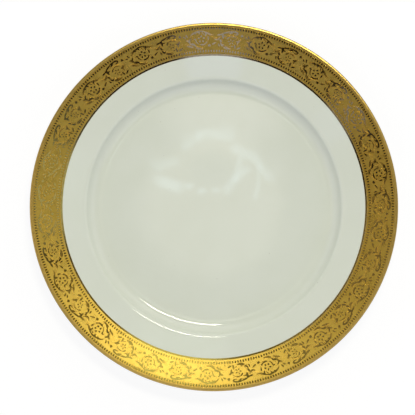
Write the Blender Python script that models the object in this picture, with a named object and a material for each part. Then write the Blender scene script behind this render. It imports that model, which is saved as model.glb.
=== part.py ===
"""China dinner plate: a porcelain body in a clear glaze, with an etched gold band on its rim.

Every piece is turned about the Z axis. Metres, +Z up. The origin is the middle of the foot ring's
resting face, so the plate stands on Z = 0.
"""

from math import ceil, pi, radians, sin, tan, tau

import bmesh
import bpy
from mathutils import Vector

# Overall shape. Radii are from the plate's axis, heights from the table.
PLATE_RADIUS = 0.1335  # outside of the gold lip: a plate 267 mm (10 1/2 in) across
FLOOR_HEIGHT = 0.0072  # glazed floor of the well
WELL_RADIUS = 0.0887  # where the floor's plane meets the wall's cone
SHOULDER_RADIUS = 0.0930  # where the wall's cone meets the rim's cone
WALL_SLOPE = radians(62)
RIM_SLOPE = radians(8)
LIP_THICKNESS = 0.0027
BACK_SHOULDER_RADIUS = 0.0973
BACK_SHOULDER_DROP = 0.0036  # thickness of the rim here, above the back shoulder
BACK_KNEE_RADIUS = 0.0920
BACK_KNEE_HEIGHT = 0.0044
FOOT_OUTER_RADIUS = 0.0780
FOOT_INNER_RADIUS = 0.0740
FOOT_HEIGHT = 0.0032  # from the tread to the back just outside the foot ring
RECESS_HEIGHT = 0.0028  # from the tread to the back inside the foot ring

# How far each corner is rounded
WELL_ROUND = 0.0080
SHOULDER_ROUND = 0.0040
LIP_ROUND = 0.0013
BACK_SHOULDER_ROUND = 0.0060
BACK_KNEE_ROUND = 0.0070
FOOT_FILLET = 0.0012
TREAD_ROUND = 0.0009

# Coats
GLAZE_THICKNESS = 0.00025
GOLD_THICKNESS = 0.00012
COAT_GAP = 0.00005  # between a coat and what it lies on
GLAZE_END_HEIGHT = 0.0010  # the glaze stops here on the foot, so the tread is bare

# Gold on the rim, by radius: a plain inner line, the etched band, and the burnished lip
LINE_INNER_RADIUS = 0.1099
LINE_OUTER_RADIUS = 0.1111
BAND_INNER_RADIUS = 0.1112
BAND_OUTER_RADIUS = 0.1308
LIP_GOLD_FACE_RADIUS = 0.1309
LIP_GOLD_BACK_RADIUS = 0.1312  # where the lip's gold ends under the rim

SEGMENTS = 48  # round the axis
ARC_STEP = radians(30)  # the most that one edge of a rounded corner turns
SHARP_ANGLE = radians(40)
WELD = 1e-7

COAT = COAT_GAP + GLAZE_THICKNESS
GOLD_TOP = COAT_GAP + GOLD_THICKNESS
GLAZED_RADIUS = PLATE_RADIUS - GOLD_TOP
SHOULDER_HEIGHT = FLOOR_HEIGHT + (SHOULDER_RADIUS - WELL_RADIUS) * tan(WALL_SLOPE)


def rim_height(radius):
    """Height of the rim's glazed face."""
    return SHOULDER_HEIGHT + (radius - SHOULDER_RADIUS) * tan(RIM_SLOPE)


def back_height(radius):
    """Height of the rim's glazed back, a straight line from the back shoulder to the lip."""
    inner = rim_height(BACK_SHOULDER_RADIUS) - BACK_SHOULDER_DROP
    outer = rim_height(GLAZED_RADIUS) - LIP_THICKNESS
    share = (radius - BACK_SHOULDER_RADIUS) / (GLAZED_RADIUS - BACK_SHOULDER_RADIUS)
    return inner + share * (outer - inner)


# An outline's corners are (radius, height, round). They run from the axis out over the face, round
# the lip and back under the plate, so that the outside is always to the left.


def face_corners():
    return [
        (0, FLOOR_HEIGHT, 0),
        (WELL_RADIUS, FLOOR_HEIGHT, WELL_ROUND),
        (SHOULDER_RADIUS, SHOULDER_HEIGHT, SHOULDER_ROUND),
    ]


def lip_corners():
    return [
        (GLAZED_RADIUS, rim_height(GLAZED_RADIUS), LIP_ROUND),
        (GLAZED_RADIUS, back_height(GLAZED_RADIUS), LIP_ROUND),
    ]


def back_corners():
    return [
        (BACK_SHOULDER_RADIUS, back_height(BACK_SHOULDER_RADIUS), BACK_SHOULDER_ROUND),
        (BACK_KNEE_RADIUS, BACK_KNEE_HEIGHT, BACK_KNEE_ROUND),
        (FOOT_OUTER_RADIUS, FOOT_HEIGHT, FOOT_FILLET),
    ]


def tread_corners():
    """One coat below the table, so that the body inside the coats stands on it."""
    return [
        (FOOT_OUTER_RADIUS, -COAT, TREAD_ROUND),
        (FOOT_INNER_RADIUS, -COAT, TREAD_ROUND),
    ]


def recess_corners():
    return [
        (FOOT_INNER_RADIUS, RECESS_HEIGHT, FOOT_FILLET),
        (0, RECESS_HEIGHT, 0),
    ]


def corner_arc(corner, before, after, corner_round):
    """Points of the arc that rounds a corner between the points before and after it."""
    to_before = (before - corner).normalized()
    to_after = (after - corner).normalized()
    half_angle = to_before.angle(to_after) / 2
    centre = corner + (to_before + to_after).normalized() * corner_round / sin(half_angle)
    tangent_length = corner_round / tan(half_angle)
    first_spoke = (corner + to_before * tangent_length - centre).normalized()
    last_spoke = (corner + to_after * tangent_length - centre).normalized()
    steps = ceil((pi - 2 * half_angle) / ARC_STEP)
    return [
        centre + first_spoke.slerp(last_spoke, step / steps) * corner_round
        for step in range(steps + 1)
    ]


def rounded(corners):
    """The outline through the corners, with each one turned into its arc."""
    points = [Vector(corner[:2]) for corner in corners]
    outline = []
    for index, corner in enumerate(corners):
        if corner[2] == 0:
            outline.append(points[index])
        else:
            outline += corner_arc(points[index], points[index - 1], points[index + 1], corner[2])
    return outline


def offset(outline, distance):
    """The outline moved outwards, keeping each edge parallel to itself."""
    moved = []
    for index, point in enumerate(outline):
        ends = outline[max(index - 1, 0) : index + 2]
        normals = [
            (end - start).orthogonal().normalized() for start, end in zip(ends, ends[1:])
        ]
        direction = (normals[0] + normals[-1]).normalized()
        moved.append(point + direction * distance / direction.dot(normals[0]))
    return moved


def coat(outline, inner, outer):
    """Section of a coat that follows the outline, from one distance outside it to another."""
    return offset(outline, outer) + list(reversed(offset(outline, inner)))


def turned(name, section, material):
    """A solid of revolution: a section off the axis is closed, one on it ends there."""
    mesh = bpy.data.meshes.new(name)
    shape = bmesh.new()
    corners = [shape.verts.new((point.x, 0, point.y)) for point in section]
    edges = [shape.edges.new(pair) for pair in zip(corners, corners[1:])]
    if section[0].x > 0:
        edges.append(shape.edges.new((corners[-1], corners[0])))
    bmesh.ops.spin(
        shape,
        geom=corners + edges,
        axis=(0, 0, 1),
        cent=(0, 0, 0),
        angle=tau,
        steps=SEGMENTS,
        use_merge=True,
    )
    bmesh.ops.remove_doubles(shape, verts=shape.verts, dist=WELD)
    bmesh.ops.recalc_face_normals(shape, faces=shape.faces)
    shape.to_mesh(mesh)
    shape.free()
    mesh.shade_smooth()
    mesh.set_sharp_from_angle(angle=SHARP_ANGLE)
    mesh.materials.append(material)
    piece = bpy.data.objects.new(name, mesh)
    bpy.context.scene.collection.objects.link(piece)
    return piece


def finish(name, colour, roughness, metallic=0):
    """A Principled material; a node's default colour is linear RGB."""
    material = bpy.data.materials.new(name)
    material.use_nodes = True
    shader = material.node_tree.nodes["Principled BSDF"]
    shader.inputs["Base Color"].default_value = (*colour, 1)
    shader.inputs["Roughness"].default_value = roughness
    shader.inputs["Metallic"].default_value = metallic
    material.diffuse_color = (*colour, 1)
    return material


def porcelain_body():
    """The fired body: well, wall, rim and foot ring, one coat inside the glazed outline."""
    corners = (
        face_corners() + lip_corners() + back_corners() + tread_corners() + recess_corners()
    )
    bisque = finish("bisque_porcelain", (0.76, 0.74, 0.66), 0.60)
    return turned("porcelain_body", offset(rounded(corners), -COAT), bisque)


def main_glaze():
    """The glaze over the face, round the lip and under the plate, down to the foot's tread."""
    glaze_end = (FOOT_OUTER_RADIUS, GLAZE_END_HEIGHT, 0)
    corners = face_corners() + lip_corners() + back_corners() + [glaze_end]
    glaze = finish("glaze", (0.66, 0.69, 0.60), 0.06)
    return turned("main_glaze", coat(rounded(corners), -GLAZE_THICKNESS, 0), glaze)


def recess_glaze():
    """The glaze inside the foot ring, which the bare tread parts from the rest."""
    glaze_end = (FOOT_INNER_RADIUS, GLAZE_END_HEIGHT, 0)
    corners = [glaze_end] + recess_corners()
    glaze = finish("recess_glaze", (0.64, 0.67, 0.58), 0.08)
    return turned("recess_glaze", coat(rounded(corners), -GLAZE_THICKNESS, 0), glaze)


def rim_gold(name, inner_radius, outer_radius, material):
    """A flat ring of gold on the rim's face."""
    outline = [Vector((radius, rim_height(radius))) for radius in (inner_radius, outer_radius)]
    return turned(name, coat(outline, COAT_GAP, GOLD_TOP), material)


def lip_gold():
    """The burnished gold wrapped round the lip."""
    face_end = (LIP_GOLD_FACE_RADIUS, rim_height(LIP_GOLD_FACE_RADIUS), 0)
    back_end = (LIP_GOLD_BACK_RADIUS, back_height(LIP_GOLD_BACK_RADIUS), 0)
    outline = rounded([face_end] + lip_corners() + [back_end])
    burnished = finish("burnished_lip_gold", (0.72, 0.47, 0.13), 0.12, metallic=1)
    return turned("gold_lip_line", coat(outline, COAT_GAP, GOLD_TOP), burnished)


def clear_scene():
    for thing in list(bpy.data.objects):
        bpy.data.objects.remove(thing, do_unlink=True)


def build_plate():
    etched = finish("etched_gold", (0.60, 0.37, 0.10), 0.38, metallic=1)
    lined = finish("burnished_line_gold", (0.66, 0.42, 0.12), 0.18, metallic=1)
    porcelain_body()
    main_glaze()
    recess_glaze()
    rim_gold("etched_gold_band", BAND_INNER_RADIUS, BAND_OUTER_RADIUS, etched)
    rim_gold("gold_inner_line", LINE_INNER_RADIUS, LINE_OUTER_RADIUS, lined)
    lip_gold()


clear_scene()
build_plate()
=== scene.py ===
"""The looks of a gilded china dinner plate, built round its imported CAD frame.

The porcelain is turned as one smooth solid under a clear glaze. The gold band on its rim has a
matte etched ground and raised, burnished ornament: rosettes and star flowers in leaf scrolls,
between two rows of beading. The ornament is a generic scroll border, drawn here.

Metres, +Z up. The ornament is drawn in millimetres on the band laid flat: x runs along the band,
clockwise as seen from above, and y runs outwards. Azimuths are degrees clockwise from +Y.
"""

from math import cos, log, pi, radians, sin, tan, tau

import bpy
import numpy as np
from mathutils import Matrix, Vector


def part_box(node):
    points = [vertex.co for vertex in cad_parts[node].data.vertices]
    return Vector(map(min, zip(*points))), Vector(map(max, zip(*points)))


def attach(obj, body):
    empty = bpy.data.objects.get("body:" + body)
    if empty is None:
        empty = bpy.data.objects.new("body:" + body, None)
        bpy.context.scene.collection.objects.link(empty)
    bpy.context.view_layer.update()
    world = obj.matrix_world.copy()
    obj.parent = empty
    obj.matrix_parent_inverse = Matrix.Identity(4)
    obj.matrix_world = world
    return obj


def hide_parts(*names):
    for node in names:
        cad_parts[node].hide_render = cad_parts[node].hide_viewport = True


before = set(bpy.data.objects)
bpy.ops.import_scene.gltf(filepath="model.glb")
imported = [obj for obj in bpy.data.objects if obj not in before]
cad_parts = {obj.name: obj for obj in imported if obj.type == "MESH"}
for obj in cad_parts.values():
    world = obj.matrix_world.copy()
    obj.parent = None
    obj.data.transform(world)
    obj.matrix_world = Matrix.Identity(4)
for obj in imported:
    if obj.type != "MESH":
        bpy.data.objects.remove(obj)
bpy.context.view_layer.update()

MM = 0.001

# ---- The plate's outline, in millimetres from its axis and from the table ----

glaze_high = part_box("main_glaze")[1]
lip_low, lip_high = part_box("gold_lip_line")

LIP_RADIUS = glaze_high.x / MM
LIP_GOLD_THICKNESS = (lip_high.x - glaze_high.x) / MM
LIP_THICKNESS = 2.7
LIP_FACET_WIDTH = 1.1
LIP_FACET_SLOPE = radians(13.5)
CREST_CLEARANCE = 0.4  # the rim's last point stays this far from the crest, clear of its turn
RIM_SLOPE = radians(8)
ROLL_RADIUS = 127.8  # the rim's slope eases off from here to its edge
ROLL = 0.0071  # how fast, per millimetre
SHOULDER_RADIUS = 93.0
WALL_SLOPE = radians(62)
WELL_RADIUS = 88.7
FLOOR_HEIGHT = 7.2
FLOOR_DIP = 0.6  # the floor falls this much from its middle to the foot of the wall
FLOOR_BEND_RADIUS = 27.0  # round here its level middle eases into that fall
BACK_SHOULDER_RADIUS = 97.3
BACK_SHOULDER_DROP = 3.6  # thickness of the rim here, above the back shoulder
BACK_KNEE_RADIUS = 92.0
BACK_KNEE_HEIGHT = 4.4
FOOT_OUTER_RADIUS = 78.0
FOOT_INNER_RADIUS = 74.0
FOOT_HEIGHT = 3.2
RECESS_HEIGHT = 2.8
TREAD_STEP = 0.15  # the bare tread stands this far below the end of the glaze
TREAD_INSET = 0.12  # and this far inside the glazed sides of the foot
TREAD_DEPTH = 1.2  # it reaches this far up inside the glaze

# ---- The gold band's layout, in millimetres from the plate's axis ----

MIDDLE_RADIUS = 121.7
LINE_RADII = (109.8, 111.05)
LINE_TOP = 0.14  # above the glaze
GROUND_RADII = (111.1, 130.85)
LIP_GOLD_FACE_RADIUS = 130.85
LIP_GOLD_BACK_RADIUS = 131.2
INNER_BEAD_RADIUS = 113.2
OUTER_BEAD_RADIUS = 129.65
BEAD_HALF_LENGTH = 0.93
BEAD_HALF_WIDTH = 0.58
INNER_BEADS = 366
OUTER_BEADS = 417
GROUND_TOP = 0.08  # above the glaze
RELIEF_HEIGHT = 0.20  # above the ground
STEM_HEIGHT = 0.12

# ---- The ornament's repeats ----

REPEATS = 17
REPEAT = 20.71  # degrees
FIRST_ROSETTE = 314.1  # degrees: just past the join, where the repeats don't close up


def rim_height(radius):
    """Height of the glazed rim, in millimetres: a cone that rolls over towards its edge."""
    roll = ROLL * np.maximum(radius - ROLL_RADIUS, 0) ** 2
    return SHOULDER_HEIGHT + (radius - SHOULDER_RADIUS) * tan(RIM_SLOPE) - roll


SHOULDER_HEIGHT = FLOOR_HEIGHT + (SHOULDER_RADIUS - WELL_RADIUS) * tan(WALL_SLOPE)


# ---- Outlines ----


def unit(vector):
    return vector / np.hypot(*vector)


def eased_corner(before, corner, after, length, steps=20):
    """A turn between two straight runs that starts and ends without a jump in curvature."""
    start_way = unit(corner - before)
    end_way = unit(after - corner)
    turn = np.arctan2(
        start_way[0] * end_way[1] - start_way[1] * end_way[0], start_way @ end_way
    )
    middles = (np.arange(steps) + 0.5) / steps
    angles = turn * middles**2 * (3 - 2 * middles)
    ways = np.stack([np.cos(angles), np.sin(angles)], axis=1) * length / steps
    local = np.vstack([[0, 0], np.cumsum(ways, axis=0)])
    reach = local[-1, 0] - local[-1, 1] / tan(turn)
    across = np.array([-start_way[1], start_way[0]])
    start = corner - start_way * reach
    return start + np.outer(local[:, 0], start_way) + np.outer(local[:, 1], across)


def outline_through(corners):
    """Points through (radius, height, length of the turn) corners; a length of 0 keeps the corner."""
    points = [np.array(corner[:2], float) for corner in corners]
    outline = []
    for index, corner in enumerate(corners):
        if corner[2] == 0:
            outline.append(points[index][None])
        else:
            outline.append(
                eased_corner(points[index - 1], points[index], points[index + 1], corner[2])
            )
    return np.vstack(outline)


def offset(outline, distance):
    """The outline moved to its left by a distance."""
    ways = np.diff(outline, axis=0)
    ways /= np.hypot(ways[:, 0], ways[:, 1])[:, None]
    normals = np.stack([-ways[:, 1], ways[:, 0]], axis=1)
    before = np.vstack([normals[:1], normals])
    after = np.vstack([normals, normals[-1:]])
    middle = before + after
    middle /= np.hypot(middle[:, 0], middle[:, 1])[:, None]
    return outline + middle * distance / np.sum(middle * before, axis=1)[:, None]


def back_height(radius):
    """Height of the rim's glazed back, a straight line from the back shoulder to the lip."""
    inner = rim_height(BACK_SHOULDER_RADIUS) - BACK_SHOULDER_DROP
    outer = rim_height(LIP_RADIUS) - LIP_THICKNESS
    share = (radius - BACK_SHOULDER_RADIUS) / (LIP_RADIUS - BACK_SHOULDER_RADIUS)
    return inner + share * (outer - inner)


def lip_corners():
    """The lip: its crest, a narrow facet that falls outwards, then the rounded edge."""
    crest_radius = LIP_RADIUS - LIP_FACET_WIDTH
    crest = rim_height(crest_radius)
    return [
        (crest_radius, crest, 0.6),
        (LIP_RADIUS, crest - LIP_FACET_WIDTH * tan(LIP_FACET_SLOPE), 1.3),
        (LIP_RADIUS, back_height(LIP_RADIUS), 1.5),
    ]


def rim_edge():
    """Points along the rim where it rolls over, as corners without a turn."""
    last = LIP_RADIUS - LIP_FACET_WIDTH - CREST_CLEARANCE
    return [(radius, rim_height(radius), 0) for radius in np.linspace(ROLL_RADIUS, last, 8)]


def glazed_corners():
    """The whole plate: face, lip, back, foot ring and the recess inside it."""
    return [
        (0, FLOOR_HEIGHT, 0),
        (FLOOR_BEND_RADIUS, FLOOR_HEIGHT, 50),
        (WELL_RADIUS, FLOOR_HEIGHT - FLOOR_DIP, 13.2),
        (SHOULDER_RADIUS, SHOULDER_HEIGHT, 4.2),
        *rim_edge(),
        *lip_corners(),
        (BACK_SHOULDER_RADIUS, back_height(BACK_SHOULDER_RADIUS), 7.5),
        (BACK_KNEE_RADIUS, BACK_KNEE_HEIGHT, 8.0),
        (FOOT_OUTER_RADIUS, FOOT_HEIGHT, 2.4),
        (FOOT_OUTER_RADIUS, TREAD_STEP, 0.8),
        (FOOT_INNER_RADIUS, TREAD_STEP, 0.8),
        (FOOT_INNER_RADIUS, RECESS_HEIGHT, 2.4),
        (0, RECESS_HEIGHT, 0),
    ]


# ---- Meshes ----


def area_normals(mesh):
    """Smooth normals weighted by face area, so that narrow bevels leave the wide faces flat."""
    places = np.empty(len(mesh.vertices) * 3)
    mesh.vertices.foreach_get("co", places)
    places = places.reshape(-1, 3)
    normals = np.zeros_like(places)
    mesh.calc_loop_triangles()
    corners = np.empty(len(mesh.loop_triangles) * 3, int)
    mesh.loop_triangles.foreach_get("vertices", corners)
    corners = corners.reshape(-1, 3)
    a, b, c = (places[corners[:, index]] for index in range(3))
    doubled_areas = np.cross(b - a, c - a)
    for index in range(3):
        np.add.at(normals, corners[:, index], doubled_areas)
    normals /= np.linalg.norm(normals, axis=1)[:, None]
    mesh.normals_split_custom_set_from_vertices(normals.tolist())


FLAT_WITHIN = radians(3)  # of the rim's slope


def flat_tops(mesh):
    """Smooth shading, but flat where a face lies along the rim, so that tops stay crisp mirrors."""
    centres = np.empty(len(mesh.polygons) * 3)
    normals = np.empty(len(mesh.polygons) * 3)
    mesh.polygons.foreach_get("center", centres)
    mesh.polygons.foreach_get("normal", normals)
    centres = centres.reshape(-1, 3)
    normals = normals.reshape(-1, 3)
    rim_normals = -centres * sin(RIM_SLOPE) / np.hypot(centres[:, 0], centres[:, 1])[:, None]
    rim_normals[:, 2] = cos(RIM_SLOPE)
    along_rim = np.abs(np.sum(normals * rim_normals, axis=1)) > cos(FLAT_WITHIN)
    mesh.polygons.foreach_set("use_smooth", ~along_rim)


def make_piece(name, vertices, faces, material, shade=area_normals):
    """A smooth-shaded piece from points in metres, riding on the plate's one body."""
    mesh = bpy.data.meshes.new(name)
    mesh.from_pydata(vertices, [], faces)
    mesh.validate()
    mesh.shade_smooth()
    shade(mesh)
    mesh.materials.append(material)
    piece = bpy.data.objects.new(name, mesh)
    bpy.context.scene.collection.objects.link(piece)
    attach(piece, "root")
    return piece


def turned(name, section, material, segments=360, closed=False, shade=area_normals):
    """A solid of revolution from a section that runs with the outside on its left."""
    vertices = []
    rings = []
    for radius, height in section * MM:
        first = len(vertices)
        if radius < 1e-9:
            vertices.append((0, 0, height))
            rings.append([first] * segments)
            continue
        for step in range(segments):
            angle = tau * step / segments
            vertices.append((radius * cos(angle), radius * sin(angle), height))
        rings.append(list(range(first, first + segments)))
    pairs = list(zip(rings, rings[1:]))
    if closed:
        pairs.append((rings[-1], rings[0]))
    faces = []
    for near, far in pairs:
        for step in range(segments):
            after = (step + 1) % segments
            corners = (near[step], far[step], far[after], near[after])
            faces.append(tuple(dict.fromkeys(corners)))
    return make_piece(name, vertices, faces, material, shade)


COAT_BEVEL = 0.10
COAT_SUNK = 0.05  # a coat's back lies this far inside what it covers


def coat_section(outline, thickness):
    """A thin coat along an outline, its top edges rounded and its back sunk into what it covers."""
    top = offset(outline, thickness)
    bevel = min(thickness, COAT_BEVEL)
    start = rounded_end(outline[0], top[0], unit(outline[1] - outline[0]) * bevel)
    end = rounded_end(outline[-1], top[-1], unit(outline[-2] - outline[-1]) * bevel)
    return np.vstack([start, top[1:-1], end[::-1], offset(outline, -COAT_SUNK)[::-1]])


def rounded_end(low, high, inward):
    """Points up a coat's end, leaning over inwards as they rise."""
    return [
        low,
        low + (high - low) * 0.75 + inward * 0.2,
        high + inward * 0.6,
    ]


# ---- Ornament shapes, each (points, faces): x, y and height above the ground in millimetres ----

# A raised shape is flat on top with a narrow rounded bevel: how far in from its edge, and how high.
BEVEL = ((0.00, 0.00), (0.03, 0.70), (0.07, 1.00))
WIDEST_BEVEL = 0.9  # the most of a thin stroke's half width that its bevel takes
WIDEST_VEIN = 0.3  # the most of it that a vein takes
VEIN_HALF_WIDTH = 0.06
VEIN_BOTTOM = 0.55  # share of the stroke's height
LEAF_FULLNESS = 0.6  # a leaf is fuller towards its ends the lower this is
LEAF_TIP_HALF_WIDTH = 0.06
SUNK = 0.06  # how far the shapes' undersides lie below the ground's top
HEIGHT_STEP = 0.012  # share by which neighbouring shapes differ in height, so no two tops coincide


def curve_through(points, per_span=6):
    """A Catmull-Rom curve through the points."""
    points = np.array(points, float)
    ends = np.vstack([2 * points[0] - points[1], points, 2 * points[-1] - points[-2]])
    t = (np.arange(per_span) / per_span)[:, None]
    curve = []
    for a, b, c, d in zip(ends, ends[1:], ends[2:], ends[3:]):
        square = 2 * a - 5 * b + 4 * c - d
        cube = 3 * b - a - 3 * c + d
        curve.append(0.5 * (2 * b + (c - a) * t + square * t**2 + cube * t**3))
    return np.vstack([*curve, points[-1:]])


def ridge(path, half_widths, heights, with_vein=False):
    """A raised, flat-topped ridge along a path, closed below and at both ends."""
    ways = np.gradient(path, axis=0)
    ways /= np.hypot(ways[:, 0], ways[:, 1])[:, None]
    across = np.stack([-ways[:, 1], ways[:, 0]], axis=1)
    most = half_widths * WIDEST_BEVEL
    left = [(-half_widths, -SUNK * np.ones_like(heights))]
    left += [(np.minimum(inset, most) - half_widths, heights * up) for inset, up in BEVEL]
    middle = [(0 * heights, heights)]
    if with_vein:
        vein = np.minimum(VEIN_HALF_WIDTH, half_widths * WIDEST_VEIN)
        left.append((-vein, heights))
        middle = [(0 * heights, heights * VEIN_BOTTOM)]
    right = [(-sideways, up) for sideways, up in reversed(left)]
    lines = [
        np.column_stack([path + across * sideways[:, None], up])
        for sideways, up in left + middle + right
    ]
    rings = np.stack(lines, axis=1)
    count = rings.shape[1]
    faces = []
    for station in range(len(path) - 1):
        first = station * count
        for index in range(count):
            after = (index + 1) % count
            beyond = first + count
            faces.append((first + index, beyond + index, beyond + after, first + after))
    faces.append(tuple(range(count)))
    last = (len(path) - 1) * count
    faces.append(tuple(range(last + count - 1, last - 1, -1)))
    return rings.reshape(-1, 3), faces


def leaf(points, width, widest=0.5, with_vein=False):
    """A leaf stroke that tapers to both ends, widest this share of the way along."""
    path = curve_through(points)
    share = np.linspace(0, 1, len(path))
    swell = np.sin(pi * share ** (log(0.5) / log(widest)))
    half_widths = width / 2 * np.maximum(swell, 0.0) ** LEAF_FULLNESS + LEAF_TIP_HALF_WIDTH
    return ridge(path, half_widths, np.full(len(path), RELIEF_HEIGHT), with_vein)


def veined(points, width, widest):
    """A leaf stroke with a vein sunk along its middle."""
    return leaf(points, width, widest, with_vein=True)


def stem(points, width=0.85):
    """A low scroll stem of even width that tapers only at its very ends."""
    path = curve_through(points)
    share = np.linspace(0, 1, len(path))
    taper = np.clip(np.minimum(share, 1 - share) * 8, 0.15, 1)
    return ridge(path, width / 2 * taper, np.full(len(path), STEM_HEIGHT))


def boss(x, y, half_length, half_width, angle=0, squareness=1.0, around=16):
    """A flat-topped boss: a berry or a petal, or a bead with square ends if squareness is low."""
    rings = []
    turns = tau * np.arange(around) / around
    lengthwise = np.sign(np.cos(turns)) * np.abs(np.cos(turns)) ** squareness
    crosswise = np.sign(np.sin(turns)) * np.abs(np.sin(turns)) ** squareness
    for inset, up in ((0, -SUNK / RELIEF_HEIGHT), *BEVEL):
        along = (half_length - inset) * lengthwise
        sideways = (half_width - inset) * crosswise
        rings.append(
            np.stack(
                [
                    x + along * cos(angle) - sideways * sin(angle),
                    y + along * sin(angle) + sideways * cos(angle),
                    np.full(around, up * RELIEF_HEIGHT),
                ],
                axis=1,
            )
        )
    points = np.vstack([*rings, [[x, y, RELIEF_HEIGHT]]])
    faces = [tuple(range(around - 1, -1, -1))]
    for ring in range(len(rings) - 1):
        first = ring * around
        for step in range(around):
            after = (step + 1) % around
            above = first + around
            faces.append((first + step, first + after, above + after, above + step))
    top = len(points) - 1
    first = top - around
    faces += [(first + step, first + (step + 1) % around, top) for step in range(around)]
    return points, faces


def motif(shapes):
    """Shapes as one, each a hair taller or lower than its neighbours."""
    return joined(
        [
            (points * (1, 1, 1 + HEIGHT_STEP * (7 * index % 11)), faces)
            for index, (points, faces) in enumerate(shapes)
        ]
    )


def joined(shapes):
    """Several shapes as one."""
    points = []
    faces = []
    count = 0
    for shape_points, shape_faces in shapes:
        points.append(shape_points)
        faces += [tuple(corner + count for corner in face) for face in shape_faces]
        count += len(shape_points)
    return np.vstack(points), faces


def on_rim(points, azimuth, middle=MIDDLE_RADIUS):
    """Band coordinates laid on the rim's cone at an azimuth, in metres."""
    radius = middle + points[:, 1]
    angle = radians(azimuth) + points[:, 0] / middle
    height = rim_height(radius) + GROUND_TOP + points[:, 2]
    return np.stack([radius * np.sin(angle), radius * np.cos(angle), height], axis=1) * MM


def around_rim(name, shape, azimuths, material, middle=MIDDLE_RADIUS):
    """One piece that repeats a shape round the rim."""
    points, faces = shape
    laid = joined([(on_rim(points, azimuth, middle), faces) for azimuth in azimuths])
    return make_piece(name, laid[0].tolist(), laid[1], material, flat_tops)


# ---- The ornament ----

PETALS = 5


def flower(x, y, ring, half_length, half_width, first_angle):
    """Petals round a centre."""
    petals = []
    for index in range(PETALS):
        angle = radians(first_angle + 360 / PETALS * index)
        petals.append(
            boss(x + ring * cos(angle), y + ring * sin(angle), half_length, half_width, angle)
        )
    return petals


def rosette():
    """Round petals, with the C-scroll that holds them."""
    return motif(
        flower(0.4, 0.35, 1.98, 0.82, 0.72, 90)
        + [
            leaf([(-5.4, 0.5), (-4.5, 0.7), (-3.7, 0.5), (-3.3, -0.1)], 0.95),
            leaf([(-3.8, 0.9), (-3.6, -0.7), (-2.9, -2.2), (-1.5, -3.3)], 0.75, 0.4),
            leaf([(-0.7, -3.5), (0.6, -3.75), (2.2, -3.6), (3.5, -2.9), (4.3, -1.9)], 1.1, 0.3),
            boss(4.1, -2.2, 0.72, 0.66),
        ]
    )


def rosette_leaves():
    """The acanthus over the rosette, and the forked leaves to its left and below it."""
    return motif(
        [
            veined([(-7.9, 2.1), (-6.8, 3.6), (-5.0, 4.8), (-3.5, 5.4), (-2.4, 5.7)], 1.35, 0.65),
            leaf([(-5.0, 5.2), (-3.9, 5.1), (-3.0, 4.1)], 1.15, 0.6),
            leaf([(-3.2, 5.3), (-1.9, 5.8), (0.0, 6.05), (1.9, 5.8), (3.7, 5.1)], 1.15, 0.35),
            leaf([(-2.5, 6.0), (-1.3, 5.4), (-0.4, 4.0)], 1.35, 0.4),
            leaf([(1.0, 5.5), (1.7, 4.4), (2.5, 3.1)], 0.6, 0.5),
            veined([(2.6, 5.6), (4.1, 4.7), (5.5, 4.1), (7.2, 3.3), (9.6, 3.5)], 1.4, 0.35),
            leaf([(4.9, 4.8), (3.9, 4.0), (3.5, 2.1)], 1.3, 0.5),
            leaf([(5.2, 2.3), (5.4, 0.8), (5.2, -0.8)], 1.1, 0.5),
            veined(
                [(-10.9, 0.5), (-9.5, -0.1), (-8.5, -1.0), (-8.1, -2.3), (-7.0, -3.4)], 1.4, 0.45
            ),
            leaf([(-8.8, -1.1), (-8.0, 0.5), (-6.7, 1.5)], 1.05, 0.4),
            leaf([(-7.9, -2.7), (-6.3, -2.9), (-5.0, -3.6), (-4.1, -5.2)], 1.55, 0.35),
            leaf([(-6.6, -3.2), (-6.3, -2.5), (-6.2, -1.7)], 0.7, 0.35),
            veined([(-11.0, -3.1), (-9.5, -3.9), (-7.5, -4.6), (-5.9, -5.7)], 1.3, 0.55),
            veined([(-4.2, -4.8), (-3.1, -5.9), (-1.4, -6.4), (1.5, -6.6)], 1.65, 0.3),
            leaf([(-10.2, 4.6), (-9.8, 3.4), (-9.0, 2.2)], 1.05, 0.35),
            leaf([(-12.5, 3.5), (-11.5, 2.7), (-10.5, 2.1)], 0.9, 0.5),
            leaf([(8.1, -3.8), (9.5, -3.1), (11.4, -2.0)], 1.1, 0.35),
            boss(6.0, -4.5, 1.15, 1.0, radians(20)),
        ]
    )


def star_flower():
    """Five pointed petals under a part of a ring."""
    return motif(
        flower(0.0, -1.4, 1.55, 0.85, 0.42, 103)
        + [
            leaf([(-2.9, 0.2), (-2.3, 1.3), (-0.8, 2.2)], 0.95, 0.35),
            leaf([(-1.0, 2.1), (0.9, 2.4), (2.7, 1.9), (4.3, 0.7)], 0.55, 0.4),
            veined([(7.0, 0.3), (5.8, -0.2), (5.1, -1.4), (4.9, -3.8)], 1.3, 0.45),
            leaf([(3.5, -0.8), (4.4, -0.9), (5.4, -1.5)], 0.95, 0.5),
            leaf([(3.0, -3.1), (3.2, -4.6), (3.7, -6.5)], 1.15, 0.5),
            leaf([(4.7, -6.2), (6.1, -5.4), (7.7, -4.5)], 1.2, 0.55),
            leaf([(0.6, -5.1), (1.2, -4.6), (2.1, -4.3)], 0.75, 0.5),
        ]
    )


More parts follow.
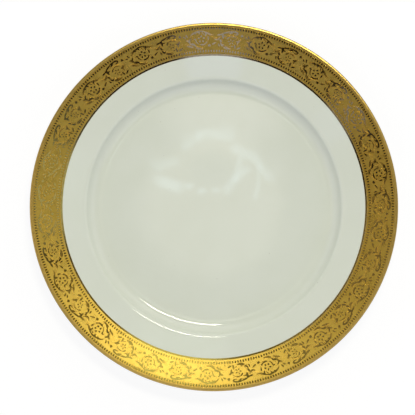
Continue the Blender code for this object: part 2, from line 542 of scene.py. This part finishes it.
def star_crown():
    """The acanthus over the star flower, ending in a curl, and the leaves below it."""
    return motif(
        [
            leaf([(-7.2, 3.4), (-5.4, 4.4), (-3.4, 5.1), (-1.4, 5.7)], 1.2, 0.55),
            leaf([(-2.2, 5.7), (-3.0, 5.0), (-4.1, 4.5)], 1.0, 0.4),
            leaf(
                [
                    (-3.0, 5.4), (-0.6, 5.95), (1.6, 6.0), (3.2, 5.75),
                    (4.2, 5.1), (3.9, 4.3), (2.9, 3.95), (1.3, 4.0),
                ],
                1.2,
                0.45,
            ),
            leaf([(0.9, 6.0), (-0.3, 5.1), (-2.1, 4.1)], 1.35, 0.4),
            boss(-6.4, 3.4, 1.15, 0.95, radians(-20)),
            leaf([(-6.8, 3.6), (-6.1, 2.0), (-6.0, 0.1)], 1.4, 0.45),
            leaf([(-6.2, 2.7), (-5.0, 2.3), (-3.5, 2.3)], 1.0, 0.4),
            leaf([(-8.1, 0.2), (-7.6, -1.1), (-6.7, -2.2)], 1.35, 0.5),
            leaf([(-7.9, -2.1), (-7.0, -3.7), (-5.7, -5.2)], 1.35, 0.6),
            leaf([(-6.9, -4.2), (-5.9, -4.2), (-4.8, -3.6)], 1.0, 0.4),
            veined([(-5.5, -5.4), (-3.7, -6.0), (-1.8, -6.4), (0.7, -6.5)], 1.75, 0.4),
            leaf([(-3.3, -5.9), (-3.0, -5.3), (-2.8, -4.7)], 0.7, 0.35),
        ]
    )


def star_tail():
    """What links the star flower to the rosette on its left."""
    return motif(
        [
            leaf([(-10.3, 2.9), (-8.7, 3.2), (-6.8, 3.5)], 1.2, 0.5),
            veined([(-12.6, 0.3), (-10.6, -0.3), (-9.2, 0.1), (-7.6, 1.9)], 1.25, 0.5),
            leaf([(-9.0, -2.9), (-8.8, -4.1), (-8.3, -5.4)], 1.05, 0.55),
        ]
    )


def star_bud():
    """The bud that closes the scroll on the star flower's right."""
    return motif(
        [
            boss(7.4, 3.6, 1.1, 0.8),
            boss(7.35, 4.35, 0.6, 0.5),
            boss(9.5, -6.4, 0.4, 0.4),
        ]
    )


def rosette_stems():
    """The satin scroll that winds round the rosette."""
    return motif(
        [
            stem([(-12.6, -2.6), (-10.7, -1.9), (-8.8, -2.9), (-6.6, -4.2), (-4.4, -3.6)]),
            stem(
                [
                    (-5.2, -2.2), (-4.6, -3.7), (-3.0, -4.9), (-1.0, -5.4), (1.2, -5.2),
                    (3.3, -4.2), (4.9, -2.4), (5.0, -0.2), (4.3, 1.9), (2.6, 3.5),
                    (0.2, 4.1), (-2.2, 3.4), (-3.6, 2.2),
                ]
            ),
            stem([(-6.3, 3.2), (-5.6, 1.6), (-5.9, 0.0), (-6.3, -1.4)]),
            stem([(6.2, 2.6), (7.8, 1.9), (9.6, 1.4), (11.4, 0.9)]),
        ]
    )


def star_stems():
    """The satin scroll that winds round the star flower."""
    return motif(
        [
            stem([(-12.4, 1.4), (-10.6, 0.9), (-9.0, 1.6), (-7.4, 2.2)]),
            stem(
                [
                    (-7.0, 1.5), (-6.8, 0.0), (-6.2, -2.2), (-4.8, -4.0), (-2.8, -4.9),
                    (-0.8, -4.6), (1.4, -3.8), (3.0, -2.4), (3.6, -0.6),
                ]
            ),
            stem(
                [
                    (-4.6, 0.2), (-4.2, 2.0), (-2.6, 3.1), (-0.2, 3.3),
                    (2.4, 3.0), (4.6, 1.9), (6.0, 1.0), (7.8, 1.0),
                ]
            ),
            stem([(4.4, -4.6), (6.0, -3.4), (7.6, -2.4), (8.6, -1.0)]),
        ]
    )


# ---- Materials ----


class Tree:
    """A node tree, with short ways to add and link its nodes."""

    def __init__(self, tree):
        self.tree = tree

    def node(self, kind, operation=None, **inputs):
        """A new node; an underscore in the name of an input stands for a space."""
        made = self.tree.nodes.new(kind)
        if operation:
            made.operation = operation
        for key, value in inputs.items():
            self.feed(made.inputs[key.replace("_", " ")], value)
        return made

    def feed(self, socket, value):
        if isinstance(value, bpy.types.NodeSocket):
            self.tree.links.new(value, socket)
        else:
            socket.default_value = value

    def vector_math(self, operation, first, second=(0, 0, 0), output="Vector"):
        made = self.node("ShaderNodeVectorMath", operation)
        self.feed(made.inputs[0], first)
        self.feed(made.inputs[1], second)
        return made.outputs[output]

    def mixed_shader(self, factor, first, second):
        made = self.node("ShaderNodeMixShader")
        for socket, value in zip(made.inputs, (factor, first, second)):
            self.feed(socket, value)
        return made.outputs["Shader"]

    def seen_by_camera(self):
        """1 for what the camera sees directly, 0 for what lights or is mirrored in something."""
        return self.node("ShaderNodeLightPath").outputs["Is Camera Ray"]


class Shader(Tree):
    """A material's node tree."""

    def __init__(self, name):
        self.material = bpy.data.materials.new(name)
        self.material.use_nodes = True
        super().__init__(self.material.node_tree)
        self.surface = self.tree.nodes["Principled BSDF"]
        self.place = self.node("ShaderNodeTexCoord").outputs["Object"]

    def set(self, **inputs):
        """Feeds the surface's own inputs."""
        for key, value in inputs.items():
            self.feed(self.surface.inputs[key.replace("_", " ")], value)

    def noise(self, size, detail):
        """Noise from 0 to 1 whose features are about this many metres across."""
        made = self.node("ShaderNodeTexNoise", Vector=self.place, Scale=1 / size, Detail=detail)
        return made.outputs["Fac"]

    def cells(self, size):
        """Distance to the nearest of many scattered points, for a stippled ground."""
        made = self.node("ShaderNodeTexVoronoi", Vector=self.place, Scale=1 / size)
        return made.outputs["Distance"]

    def spread(self, value, low, high, to_low, to_high):
        """A value's range from low to high, spread over another range."""
        made = self.node(
            "ShaderNodeMapRange",
            Value=value,
            From_Min=low,
            From_Max=high,
            To_Min=to_low,
            To_Max=to_high,
        )
        return made.outputs["Result"]

    def blend(self, factor, first, second):
        """A colour between two others."""
        made = self.node("ShaderNodeMix")
        made.data_type = "RGBA"
        self.feed(made.inputs["Factor"], factor)
        self.feed(made.inputs["A"], (*first, 1) if isinstance(first, tuple) else first)
        self.feed(made.inputs["B"], (*second, 1) if isinstance(second, tuple) else second)
        return made.outputs["Result"]

    def pick(self, factor, first, second):
        """A number between two others."""
        return self.node("ShaderNodeMix", Factor=factor, A=first, B=second).outputs["Result"]

    def bump(self, height, depth, strength=1.0):
        made = self.node("ShaderNodeBump", Height=height, Distance=depth, Strength=strength)
        return made.outputs["Normal"]


def glaze_material():
    """Clear glaze on cream-grey porcelain: glossy, with the faintest mottling and waviness."""
    shader = Shader("glazed_porcelain")
    cloud = shader.spread(shader.noise(0.022, 3), 0.35, 0.65, 0, 1)
    colour = shader.blend(cloud, (0.744, 0.789, 0.674), (0.758, 0.803, 0.692))
    speck = shader.spread(shader.cells(0.010), 0.018, 0.026, 1, 0)
    shader.set(
        Base_Color=shader.blend(speck, colour, (0.45, 0.43, 0.36)),
        Roughness=shader.spread(shader.noise(0.004, 3), 0.3, 0.7, 0.012, 0.020),
        IOR=1.52,
        Normal=shader.bump(shader.noise(0.030, 1), 0.00002),
    )
    return shader.material


def bisque_material():
    """The bare tread: unglazed, finely pitted and a little soiled."""
    shader = Shader("bare_bisque")
    grime = shader.spread(shader.noise(0.006, 5), 0.45, 0.75, 0, 1)
    shader.set(
        Base_Color=shader.blend(grime, (0.74, 0.72, 0.64), (0.52, 0.47, 0.38)),
        Roughness=shader.spread(shader.noise(0.0006, 2), 0.3, 0.7, 0.65, 0.85),
        Normal=shader.bump(shader.noise(0.0004, 4), 0.00005),
    )
    return shader.material


def etched_gold_material():
    """The acid-etched ground: matte gold with a fine stippled grain."""
    shader = Shader("etched_gold")
    grain = shader.cells(0.00028)
    cloud = shader.spread(shader.noise(0.006, 3), 0.35, 0.65, 0, 1)
    colour = shader.blend(cloud, (0.775, 0.520, 0.094), (0.815, 0.560, 0.112))
    shader.set(
        Base_Color=shader.blend(
            shader.spread(grain, 0.1, 0.6, 0.12, 0), colour, (0.50, 0.28, 0.03)
        ),
        Metallic=1.0,
        Roughness=shader.spread(shader.noise(0.005, 2), 0.3, 0.7, 0.265, 0.295),
        Normal=shader.bump(grain, 0.00001, 0.15),
    )
    return shader.material


def burnished_gold_material():
    """Raised gold: flat tops burnished to a mirror; satin bevels in a darker gold, as painted shade.
    """
    shader = Shader("burnished_gold")
    rubbed = shader.spread(shader.noise(0.003, 4), 0.45, 0.70, 0, 1)
    hairline = shader.noise(0.00035, 2)
    geometry = shader.node("ShaderNodeNewGeometry")
    upright = shader.node("ShaderNodeSeparateXYZ", Vector=geometry.outputs["True Normal"])
    on_top = shader.spread(upright.outputs["Z"], 0.965, 0.985, 0, 1)
    polish = shader.spread(rubbed, 0, 1, 0.06, 0.09)
    colour = shader.blend(rubbed, (0.90, 0.63, 0.20), (0.80, 0.54, 0.15))
    shader.set(
        # Bevels and steep sides get a darker gold than the tops: painted shade along the edges of
        # each shape.
        Base_Color=shader.blend(on_top, (0.70, 0.44, 0.08), colour),
        Metallic=1.0,
        Roughness=shader.pick(on_top, 0.55, polish),
        Normal=shader.bump(hairline, 0.000004, 0.3),
    )
    return shader.material


def satin_gold_material(name, roughness, colour, worn):
    """Plain gold with a soft satin sheen, a little darker and duller where it is worn."""
    shader = Shader(name)
    rubbed = shader.spread(shader.noise(0.003, 4), 0.45, 0.70, 0, 1)
    shader.set(
        Base_Color=shader.blend(rubbed, colour, worn),
        Metallic=1.0,
        Roughness=shader.spread(rubbed, 0, 1, roughness, roughness + 0.06),
        Normal=shader.bump(shader.noise(0.00035, 2), 0.000004, 0.1),
    )
    return shader.material


# ---- The plate ----


RIM_LINE_POINTS = 30


def rim_line(inner_radius, outer_radius):
    """A line along the glazed rim."""
    radii = np.linspace(inner_radius, outer_radius, RIM_LINE_POINTS)
    return np.stack([radii, rim_height(radii)], axis=1)


def lip_outline():
    """A line round the glazed lip, from the end of its gold on the face to the one on the back."""
    face_end = (LIP_GOLD_FACE_RADIUS, rim_height(LIP_GOLD_FACE_RADIUS), 0)
    support_radius = LIP_GOLD_FACE_RADIUS + 0.12  # holds the gold's end flat against the rim
    face_support = (support_radius, rim_height(support_radius), 0)
    back_end = (LIP_GOLD_BACK_RADIUS, back_height(LIP_GOLD_BACK_RADIUS), 0)
    return outline_through([face_end, face_support, *lip_corners(), back_end])


def build_porcelain():
    """The whole plate in its glaze, and the bare tread that shows below the glaze on its foot."""
    section = outline_through(glazed_corners())
    porcelain = turned("glazed_porcelain", section, glaze_material())
    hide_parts("main_glaze", "recess_glaze")
    tread_outer = FOOT_OUTER_RADIUS - TREAD_INSET
    tread_inner = FOOT_INNER_RADIUS + TREAD_INSET
    tread = outline_through(
        [
            (tread_outer, TREAD_DEPTH, 0),
            (tread_outer, 0, 1.2),
            (tread_inner, 0, 1.2),
            (tread_inner, TREAD_DEPTH, 0),
        ]
    )
    foot = turned("bare_foot_tread", tread, bisque_material(), closed=True)
    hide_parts("porcelain_body")


def gold_coat(name, outline, thickness, material, node, shade=flat_tops):
    """A ring of gold along an outline, in place of a CAD node."""
    section = coat_section(outline, thickness)
    piece = turned(name, section, material, closed=True, shade=shade)
    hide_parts(node)


def build_gold():
    """The etched band, its two plain lines, the ornament and the beading."""
    etched = etched_gold_material()
    burnished = burnished_gold_material()
    satin = satin_gold_material("satin_stems", 0.26, (0.92, 0.61, 0.12), (0.84, 0.54, 0.09))
    satin_lip = satin_gold_material("satin_lip", 0.31, (0.63, 0.43, 0.11), (0.55, 0.37, 0.09))
    gold_coat(
        "etched_ground",
        rim_line(*GROUND_RADII),
        GROUND_TOP,
        etched,
        "etched_gold_band",
    )
    gold_coat(
        "inner_line",
        rim_line(*LINE_RADII),
        LINE_TOP,
        burnished,
        "gold_inner_line",
    )
    gold_coat(
        "lip_gold",
        lip_outline(),
        LIP_GOLD_THICKNESS,
        satin_lip,
        "gold_lip_line",
        shade=area_normals,
    )
    build_ornament(burnished, satin)
    build_beading(burnished)


def build_ornament(burnished, satin):
    """Rosettes and star flowers by turns; the join has one more star, with fewer parts."""
    rosettes = [FIRST_ROSETTE + REPEAT * index for index in range(REPEATS)]
    stars = [azimuth + REPEAT / 2 for azimuth in rosettes]
    join_star = FIRST_ROSETTE - REPEAT / 2
    all_stars = [join_star, *stars]
    for name, shape, azimuths in (
        ("rosettes", rosette(), rosettes),
        ("rosette_leaves", rosette_leaves(), rosettes),
        ("star_flowers", star_flower(), all_stars),
        ("star_crowns", star_crown(), all_stars),
        ("star_tails", star_tail(), stars),
        ("star_buds", star_bud(), [join_star, *stars[:-1]]),
    ):
        around_rim(name, shape, azimuths, burnished)
    around_rim("rosette_stems", rosette_stems(), rosettes, satin)
    around_rim("star_stems", star_stems(), stars, satin)


def build_beading(burnished):
    """A row of beads along each edge of the band."""
    bead = boss(0, 0, BEAD_HALF_LENGTH, BEAD_HALF_WIDTH, pi / 2, squareness=0.6)
    for name, count, radius in (
        ("outer_beading", OUTER_BEADS, OUTER_BEAD_RADIUS),
        ("inner_beading", INNER_BEADS, INNER_BEAD_RADIUS),
    ):
        azimuths = [360 * index / count for index in range(count)]
        around_rim(name, bead, azimuths, burnished, radius)


# ---- Floor, lights and camera ----

BACKDROP = 1.0  # brightness of the plain white behind the plate
DARK_ABOVE = radians(42)  # the surroundings are dark from straight above to this tilt
PALE_BELOW = radians(62)  # and pale from this tilt down

# Soft patches of light seen in the gold and the glaze: azimuth, tilt from straight up, the angle to
# which each is full, the angle where it ends, and its colour. A negative colour darkens.
WINDOWS = (
    (180, 13.7, 2.2, 3.2, (0.28, 0.36, 0.93)),
    (235, 13.7, 1.2, 2.1, (0.17, 0.21, 0.45)),
    (15, 13.7, 1.0, 6.0, (0.58, 0.70, 0.44)),
    (95, 14, 1, 5.5, (0.33, 0.40, 0.38)),
    (110, 15.5, 0.3, 2.3, (0.12, 0.16, 0.20)),
    (122, 12.5, 0.3, 2.0, (0.10, 0.14, 0.18)),
    (132, 15.5, 0.3, 2.0, (0.10, 0.13, 0.16)),
    (125, 27, 1, 10, (0.70, 0.64, 0.45)),
    (155, 27, 1, 9, (0.42, 0.38, 0.22)),
    (208, 27, 1, 9, (0.75, 0.70, 0.45)),
    (268, 27, 1, 10, (0.72, 0.50, 0.12)),
    (300, 17, 7, 11, (0.125, 0.120, 0.095)),
    (345, 14, 1, 7, (0.11, 0.12, 0.06)),
    (48, 14, 1, 7, (0.13, 0.13, 0.06)),
    (135, 34, 5, 17, (0.75, 0.77, 0.95)),
    (180, 34, 5, 17, (0.62, 0.65, 0.88)),
    (215, 34, 5, 17, (0.70, 0.73, 0.95)),
    (265, 34, 5, 17, (0.50, 0.50, 0.56)),
    (180, 65, 10, 38, (0.34, 0.34, 0.40)),
    (90, 65, 10, 38, (0.25, 0.25, 0.28)),
    (270, 65, 10, 38, (0.35, 0.35, 0.39)),
    (15, 65, 10, 38, (0.55, 0.54, 0.56)),
    (5, 4.5, 1.0, 3.3, (2.0, 1.85, 1.65)),
)

# What the middle of the well mirrors, all of it closer to straight above than this tilt: a soft
# disc, darker on one side, and a window broken up by leaves. Each stroke of the window runs from
# one azimuth and tilt to another, with this many patches that end at this angle and are full out
# to a fifth of it.
OVERHEAD_TILT = 2.4
DISC = (
    (0, 0.0, 1.85, 2.3, (0.92, 0.86, 0.72)),
    (0, 1.1, 0.3, 0.9, (-0.45, -0.38, -0.30)),
)
STROKES = (
    (296, 1.80, 299, 1.15, 4, 0.29),
    (307, 2.06, 319, 1.88, 3, 0.17),
    (308, 0.92, 312, 0.82, 2, 0.16),
    (319, 0.48, 324, 0.40, 2, 0.12),
    (0, 0.33, 8, 0.33, 2, 0.10),
    (42, 0.45, 30, 1.73, 8, 0.17),
    (19, 1.93, 62, 1.96, 10, 0.16),
    (74, 1.27, 48, 1.88, 6, 0.15),
    (41, 0.98, 41, 1.58, 5, 0.16),
    (333, 2.05, 347, 2.14, 5, 0.11),
    (348, 2.14, 14, 2.15, 9, 0.13),
)
PANE_COLOUR = (0.74, 1.05, 1.25)

PLATE_SHARE = 0.8882  # of the frame's width that the plate fills
CAMERA_DISTANCE = 3.0  # metres above the plate
SENSOR_WIDTH = 36  # millimetres
CAMERA_SHIFT = (-0.0155, -0.0011)  # shares of the frame's width


def direction(azimuth, tilt):
    """A unit vector at an azimuth, tilted away from straight up, in degrees."""
    side = sin(radians(tilt))
    return (side * sin(radians(azimuth)), side * cos(radians(azimuth)), cos(radians(tilt)))


def build_floor():
    """A wide pale floor that fades into the backdrop. All but the camera see it dimmer."""
    shader = Shader("pale_floor")
    distance = shader.vector_math("LENGTH", shader.place, output="Value")
    far = shader.spread(distance, 0.30, 0.9, 0, 1)
    seen = shader.seen_by_camera()
    shader.set(
        Base_Color=(0.14, 0.14, 0.14, 1),
        Roughness=0.8,
        Emission_Color=(1, 1, 1, 1),
        Emission_Strength=shader.pick(seen, 0.35, 0.87),
    )
    glow = shader.node(
        "ShaderNodeEmission", Color=(1, 1, 1, 1), Strength=shader.pick(seen, 0.45, BACKDROP)
    )
    either = shader.mixed_shader(far, shader.surface.outputs["BSDF"], glow.outputs["Emission"])
    shader.feed(shader.tree.nodes["Material Output"].inputs["Surface"], either)
    reach = 6
    corners = [(-reach, -reach, 0), (reach, -reach, 0), (reach, reach, 0), (-reach, reach, 0)]
    mesh = bpy.data.meshes.new("floor")
    mesh.from_pydata(corners, [], [(0, 1, 2, 3)])
    mesh.materials.append(shader.material)
    floor = bpy.data.objects.new("floor", mesh)
    bpy.context.scene.collection.objects.link(floor)


def with_patches(world, way, total, patches):
    """Adds soft round patches of light, each full to its inner angle and faded at its outer one."""
    for azimuth, tilt, inner, outer, colour in patches:
        closeness = world.vector_math("DOT_PRODUCT", way, direction(azimuth, tilt), "Value")
        fade = world.node(
            "ShaderNodeMapRange",
            Value=closeness,
            From_Min=cos(radians(outer)),
            From_Max=cos(radians(inner)),
        )
        fade.interpolation_type = "SMOOTHSTEP"
        scaled = world.node("ShaderNodeVectorMath", "SCALE", Scale=fade.outputs["Result"])
        world.feed(scaled.inputs[0], colour)
        total = world.vector_math("ADD", total, scaled.outputs["Vector"])
    return total


def stroke_patches():
    """Each patch along the strokes."""
    for first_azimuth, first_tilt, last_azimuth, last_tilt, count, outer in STROKES:
        turn = (last_azimuth - first_azimuth + 180) % 360 - 180  # the shorter way round
        for share in np.linspace(0, 1, count):
            azimuth = first_azimuth + share * turn
            tilt = first_tilt + share * (last_tilt - first_tilt)
            yield azimuth, tilt, outer / 5, outer, PANE_COLOUR


def surroundings(world):
    """What the plate mirrors: dark above and pale lower down, with the patches of light."""
    way = world.node("ShaderNodeTexCoord").outputs["Generated"]
    upness = world.vector_math("DOT_PRODUCT", way, (0, 0, 1), "Value")
    ramp = world.node("ShaderNodeValToRGB", Fac=upness)
    ramp.color_ramp.interpolation = "EASE"
    pale, dark = ramp.color_ramp.elements
    pale.position = cos(PALE_BELOW)
    pale.color = (0.60, 0.60, 0.66, 1)
    dark.position = cos(DARK_ABOVE)
    dark.color = (0.022, 0.020, 0.016, 1)
    wide = with_patches(world, way, ramp.outputs["Color"], WINDOWS)
    everywhere = world.node("ShaderNodeBackground", Color=wide)

    # The many patches overhead are switched in, so that the rest of the sky is spared their cost.
    near = with_patches(world, way, (0, 0, 0), [*DISC, *stroke_patches()])
    overhead = world.node("ShaderNodeBackground", Color=near)
    switch = world.node("ShaderNodeMath", "GREATER_THAN")
    world.feed(switch.inputs[0], upness)
    world.feed(switch.inputs[1], cos(radians(OVERHEAD_TILT)))
    switched = world.node("ShaderNodeMixShader", Fac=switch.outputs["Value"])
    world.feed(switched.inputs[2], overhead.outputs["Background"])
    both = world.node("ShaderNodeAddShader")
    world.feed(both.inputs[0], everywhere.outputs["Background"])
    world.feed(both.inputs[1], switched.outputs["Shader"])
    return both.outputs["Shader"]


def build_world():
    """Soft surroundings, but plain white to the camera."""
    studio = bpy.data.worlds.new("studio")
    studio.use_nodes = True
    bpy.context.scene.world = studio
    world = Tree(studio.node_tree)
    plain = world.tree.nodes["Background"]
    world.feed(plain.inputs["Color"], (1, 1, 1, 1))
    world.feed(plain.inputs["Strength"], BACKDROP)
    either = world.mixed_shader(
        world.seen_by_camera(), surroundings(world), plain.outputs["Background"]
    )
    world.feed(world.tree.nodes["World Output"].inputs["Surface"], either)


def area_light(name, azimuth, tilt, distance, width, height, radiance, colour):
    """A soft rectangular lamp aimed at the plate; its width lies level."""
    data = bpy.data.lights.new(name, "AREA")
    data.shape = "RECTANGLE"
    data.size = width
    data.size_y = height
    # A lamp's radiance is a quarter of its watts per square metre.
    data.energy = 4 * radiance * width * height
    data.color = colour
    lamp = bpy.data.objects.new(name, data)
    bpy.context.scene.collection.objects.link(lamp)
    way = direction(azimuth, tilt)
    lamp.location = [part * distance for part in way]
    lamp.rotation_euler = (radians(tilt), 0, -radians(azimuth) + pi)
    lamp.visible_camera = False


def build_camera():
    """Straight above the plate, which sits a little right of the frame's middle."""
    frame_width = (lip_high.x - lip_low.x) / PLATE_SHARE
    data = bpy.data.cameras.new("camera")
    data.sensor_width = SENSOR_WIDTH
    data.lens = SENSOR_WIDTH * CAMERA_DISTANCE / frame_width
    data.shift_x, data.shift_y = CAMERA_SHIFT
    camera = bpy.data.objects.new("camera", data)
    camera.location = (0, 0, CAMERA_DISTANCE + lip_high.z)
    bpy.context.scene.collection.objects.link(camera)
    bpy.context.scene.camera = camera


def build_studio():
    """Floor, surroundings, camera, and the one lamp: the strip that the lip and the wall mirror."""
    build_floor()
    build_world()
    area_light(
        "key_strip",
        azimuth=17,
        tilt=26.5,
        distance=6.0,
        width=1.86,
        height=0.96,
        radiance=19.5,
        colour=(1.0, 0.97, 0.80),
    )
    build_camera()
    bpy.context.scene.view_settings.view_transform = "Standard"


build_porcelain()
build_gold()
build_studio()
